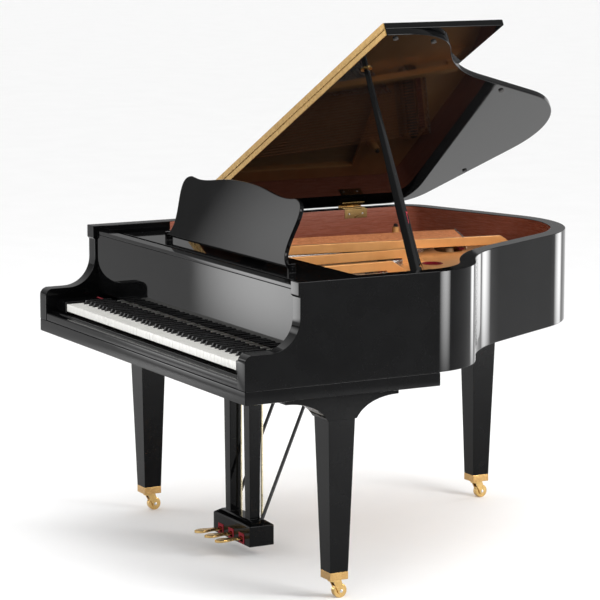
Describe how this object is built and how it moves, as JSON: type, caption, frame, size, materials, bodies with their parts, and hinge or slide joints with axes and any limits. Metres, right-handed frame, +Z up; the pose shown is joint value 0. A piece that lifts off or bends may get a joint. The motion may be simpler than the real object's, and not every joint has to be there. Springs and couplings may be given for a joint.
{
  "type": "grand piano",
  "caption": "Grand piano with open propped lid, music desk, fallboard, keyboard, strung plate, pedal lyre and square tapered legs on casters.",
  "frame": {"origin": "on the floor under the middle of the case", "axes": "+X towards the treble side (the player's right), +Y from the keys to the tail, +Z up"},
  "size_m": [1.5092, 1.6099, 1.706],
  "materials": {
    "ebony_polish": "high gloss black lacquer",
    "bare_maple": "satin",
    "spruce": "satin varnish",
    "bridge_wood": "satin, blackened top",
    "bronze_paint": "bronze paint",
    "steel_wire": "bright",
    "copper_wire": "copper winding",
    "damper_wood": "satin black",
    "ivory_plastic": "polished",
    "ebony_plastic": "satin",
    "black_metal": "gloss black",
    "rod_metal": "satin",
    "brass_polish": "polished",
    "button_rubber": "matte"
  },
  "bodies": {
    "case": {"rim": "ebony_polish", "keybed": "ebony_polish", "keyslip": "ebony_polish", "key_blocks": "ebony_polish", "desk_rails": "ebony_polish", "lyre": "ebony_polish", "leg_treble": "ebony_polish", "leg_bass": "ebony_polish", "leg_tail": "ebony_polish", "inner_rim": "bare_maple", "case_beams": "bare_maple", "key_frame": "bare_maple", "hammer_action": "bare_maple", "pin_block": "bare_maple", "soundboard": "spruce", "bridges": "bridge_wood", "plate": "bronze_paint", "strings_plain": "steel_wire", "tuning_pins": "steel_wire", "strings_wound": "copper_wire", "lyre_braces": "black_metal", "leg_ferrules": "brass_polish", "rim_fittings": "brass_polish"},
    "lid": {"main_lid": "ebony_polish", "lid_fittings": "brass_polish", "lid_buttons": "button_rubber"},
    "flap": {"lid_flap": "ebony_polish", "flap_hinge_leaf": "brass_polish"},
    "prop": {"prop_stick": "ebony_polish"},
    "half_stick": {"half_prop": "ebony_polish"},
    "fallboard_body": {"fallboard": "ebony_polish"},
    "lip": {"fallboard_lip": "ebony_polish"},
    "tray": {"music_tray": "ebony_polish"},
    "desk": {"music_desk": "ebony_polish"},
    "strut": {"desk_strut": "ebony_polish"},
    "damper_rail": {"dampers": "damper_wood"},
    "pedal_soft_body": {"pedal_soft": "brass_polish"},
    "rod_soft_body": {"pedal_rod_soft": "rod_metal"},
    "pedal_middle_body": {"pedal_middle": "brass_polish"},
    "rod_middle_body": {"pedal_rod_middle": "rod_metal"},
    "pedal_damper_body": {"pedal_damper": "brass_polish"},
    "rod_damper_body": {"pedal_rod_damper": "rod_metal"},
    "key_a_body": {"key_a": "ivory_plastic"},
    "key_b_body": {"key_b": "ivory_plastic"},
    "key_c_body": {"key_c": "ivory_plastic"},
    "key_d_body": {"key_d": "ivory_plastic"},
    "key_e_body": {"key_e": "ivory_plastic"},
    "key_f_body": {"key_f": "ivory_plastic"},
    "key_g_body": {"key_g": "ivory_plastic"},
    "key_a_sharp_body": {"key_a_sharp": "ebony_plastic"},
    "key_c_sharp_body": {"key_c_sharp": "ebony_plastic"},
    "key_d_sharp_body": {"key_d_sharp": "ebony_plastic"},
    "key_f_sharp_body": {"key_f_sharp": "ebony_plastic"},
    "key_g_sharp_body": {"key_g_sharp": "ebony_plastic"},
    "fork_treble": {"caster_fork_treble": "brass_polish"},
    "wheel_treble": {"caster_wheel_treble": "brass_polish"},
    "fork_bass": {"caster_fork_bass": "brass_polish"},
    "wheel_bass": {"caster_wheel_bass": "brass_polish"},
    "fork_tail": {"caster_fork_tail": "brass_polish"},
    "wheel_tail": {"caster_wheel_tail": "brass_polish"}
  },
  "joints": [
    {"name": "lid_hinge", "type": "hinge", "parent": "case", "child": "lid", "pos_m": [-0.739, 0, 0.9825], "axis": [0, -1, 0], "range_deg": [0, 12]},
    {"name": "flap_hinge", "type": "hinge", "parent": "lid", "child": "flap", "pos_m": [-0.74953, -0.244, 1.00272], "axis": [0.887, 0, 0.4617], "range_deg": [0, 180]},
    {"name": "prop_swing", "type": "hinge", "parent": "case", "child": "prop", "pos_m": [0.669, -0.185, 0.955], "axis": [-0.7116, -0.5971, -0.3704], "range_deg": [0, 72]},
    {"name": "half_prop_swing", "type": "hinge", "parent": "prop", "child": "half_stick", "pos_m": [0.64822, -0.185, 0.99491], "axis": [0.5296, -0.8022, 0.2757], "range_deg": [0, 55]},
    {"name": "fallboard_hinge", "type": "hinge", "parent": "case", "child": "fallboard_body", "pos_m": [0, -0.6, 0.77], "axis": [1, 0, 0], "range_deg": [0, 90]},
    {"name": "lip_hinge", "type": "hinge", "parent": "fallboard_body", "child": "lip", "pos_m": [0, -0.618, 0.9523], "axis": [1, 0, 0], "range_deg": [0, 175]},
    {"name": "tray_slide", "type": "slide", "parent": "case", "child": "tray", "axis": [0, 1, 0], "range_m": [0, 0.08]},
    {"name": "desk_hinge", "type": "hinge", "parent": "tray", "child": "desk", "pos_m": [0, -0.48, 0.9723], "axis": [-1, 0, 0], "range_deg": [0, 72]},
    {"name": "strut_hinge", "type": "hinge", "parent": "desk", "child": "strut", "pos_m": [0, -0.43531, 1.08396], "axis": [1, 0, 0], "range_deg": [0, 135.9]},
    {"name": "damper_lift", "type": "slide", "parent": "case", "child": "damper_rail", "axis": [0, 0, 1], "range_m": [0, 0.0081]},
    {"name": "pedal_soft_hinge", "type": "hinge", "parent": "case", "child": "pedal_soft_body", "pos_m": [-0.072, -0.43, 0.06], "axis": [1, 0, 0], "range_deg": [0, 8], "stiffness_Nm_per_rad": 24, "springref_deg": -4.58},
    {"name": "rod_soft_slide", "type": "slide", "parent": "case", "child": "rod_soft_body", "axis": [0, 0, 1], "range_m": [0, 0.0051]},
    {"name": "pedal_middle_hinge", "type": "hinge", "parent": "case", "child": "pedal_middle_body", "pos_m": [0, -0.43, 0.06], "axis": [1, 0, 0], "range_deg": [0, 8], "stiffness_Nm_per_rad": 24, "springref_deg": -4.58},
    {"name": "rod_middle_slide", "type": "slide", "parent": "case", "child": "rod_middle_body", "axis": [0, 0, 1], "range_m": [0, 0.0051]},
    {"name": "pedal_damper_hinge", "type": "hinge", "parent": "case", "child": "pedal_damper_body", "pos_m": [0.072, -0.43, 0.06], "axis": [1, 0, 0], "range_deg": [0, 8], "stiffness_Nm_per_rad": 24, "springref_deg": -4.58},
    {"name": "rod_damper_slide", "type": "slide", "parent": "case", "child": "rod_damper_body", "axis": [0, 0, 1], "range_m": [0, 0.0051]},
    {"name": "key_a_press", "type": "hinge", "parent": "case", "child": "key_a_body", "pos_m": [0, -0.54, 0.714], "axis": [1, 0, 0], "range_deg": [0, 2.5], "stiffness_Nm_per_rad": 5, "springref_deg": -11.46},
    {"name": "key_b_press", "type": "hinge", "parent": "case", "child": "key_b_body", "pos_m": [0, -0.54, 0.714], "axis": [1, 0, 0], "range_deg": [0, 2.5], "stiffness_Nm_per_rad": 5, "springref_deg": -11.46},
    {"name": "key_c_press", "type": "hinge", "parent": "case", "child": "key_c_body", "pos_m": [0, -0.54, 0.714], "axis": [1, 0, 0], "range_deg": [0, 2.5], "stiffness_Nm_per_rad": 5, "springref_deg": -11.46},
    {"name": "key_d_press", "type": "hinge", "parent": "case", "child": "key_d_body", "pos_m": [0, -0.54, 0.714], "axis": [1, 0, 0], "range_deg": [0, 2.5], "stiffness_Nm_per_rad": 5, "springref_deg": -11.46},
    {"name": "key_e_press", "type": "hinge", "parent": "case", "child": "key_e_body", "pos_m": [0, -0.54, 0.714], "axis": [1, 0, 0], "range_deg": [0, 2.5], "stiffness_Nm_per_rad": 5, "springref_deg": -11.46},
    {"name": "key_f_press", "type": "hinge", "parent": "case", "child": "key_f_body", "pos_m": [0, -0.54, 0.714], "axis": [1, 0, 0], "range_deg": [0, 2.5], "stiffness_Nm_per_rad": 5, "springref_deg": -11.46},
    {"name": "key_g_press", "type": "hinge", "parent": "case", "child": "key_g_body", "pos_m": [0, -0.54, 0.714], "axis": [1, 0, 0], "range_deg": [0, 2.5], "stiffness_Nm_per_rad": 5, "springref_deg": -11.46},
    {"name": "key_a_sharp_press", "type": "hinge", "parent": "case", "child": "key_a_sharp_body", "pos_m": [0, -0.54, 0.714], "axis": [1, 0, 0], "range_deg": [0, 2.5], "stiffness_Nm_per_rad": 5, "springref_deg": -11.46},
    {"name": "key_c_sharp_press", "type": "hinge", "parent": "case", "child": "key_c_sharp_body", "pos_m": [0, -0.54, 0.714], "axis": [1, 0, 0], "range_deg": [0, 2.5], "stiffness_Nm_per_rad": 5, "springref_deg": -11.46},
    {"name": "key_d_sharp_press", "type": "hinge", "parent": "case", "child": "key_d_sharp_body", "pos_m": [0, -0.54, 0.714], "axis": [1, 0, 0], "range_deg": [0, 2.5], "stiffness_Nm_per_rad": 5, "springref_deg": -11.46},
    {"name": "key_f_sharp_press", "type": "hinge", "parent": "case", "child": "key_f_sharp_body", "pos_m": [0, -0.54, 0.714], "axis": [1, 0, 0], "range_deg": [0, 2.5], "stiffness_Nm_per_rad": 5, "springref_deg": -11.46},
    {"name": "key_g_sharp_press", "type": "hinge", "parent": "case", "child": "key_g_sharp_body", "pos_m": [0, -0.54, 0.714], "axis": [1, 0, 0], "range_deg": [0, 2.5], "stiffness_Nm_per_rad": 5, "springref_deg": -11.46},
    {"name": "caster_swivel_treble", "type": "hinge", "parent": "case", "child": "fork_treble", "pos_m": [0.645, -0.455, 0.05], "axis": [0, 0, 1], "continuous": true},
    {"name": "caster_roll_treble", "type": "hinge", "parent": "fork_treble", "child": "wheel_treble", "pos_m": [0.645, -0.439, 0.022], "axis": [1, 0, 0], "continuous": true},
    {"name": "caster_swivel_bass", "type": "hinge", "parent": "case", "child": "fork_bass", "pos_m": [-0.645, -0.455, 0.05], "axis": [0, 0, 1], "continuous": true},
    {"name": "caster_roll_bass", "type": "hinge", "parent": "fork_bass", "child": "wheel_bass", "pos_m": [-0.645, -0.439, 0.022], "axis": [1, 0, 0], "continuous": true},
    {"name": "caster_swivel_tail", "type": "hinge", "parent": "case", "child": "fork_tail", "pos_m": [-0.272, 0.624, 0.05], "axis": [0, 0, 1], "continuous": true},
    {"name": "caster_roll_tail", "type": "hinge", "parent": "fork_tail", "child": "wheel_tail", "pos_m": [-0.272, 0.64, 0.022], "axis": [1, 0, 0], "continuous": true}
  ],
  "couplings": [
    {"joint": "strut_hinge", "follows": "desk_hinge", "ratio": 1.886},
    {"joint": "rod_soft_slide", "follows": "pedal_soft_hinge", "m_per_rad": 0.0365},
    {"joint": "rod_middle_slide", "follows": "pedal_middle_hinge", "m_per_rad": 0.0365},
    {"joint": "rod_damper_slide", "follows": "pedal_damper_hinge", "m_per_rad": 0.0365},
    {"joint": "damper_lift", "follows": "pedal_damper_hinge", "m_per_rad": 0.0573}
  ]
}
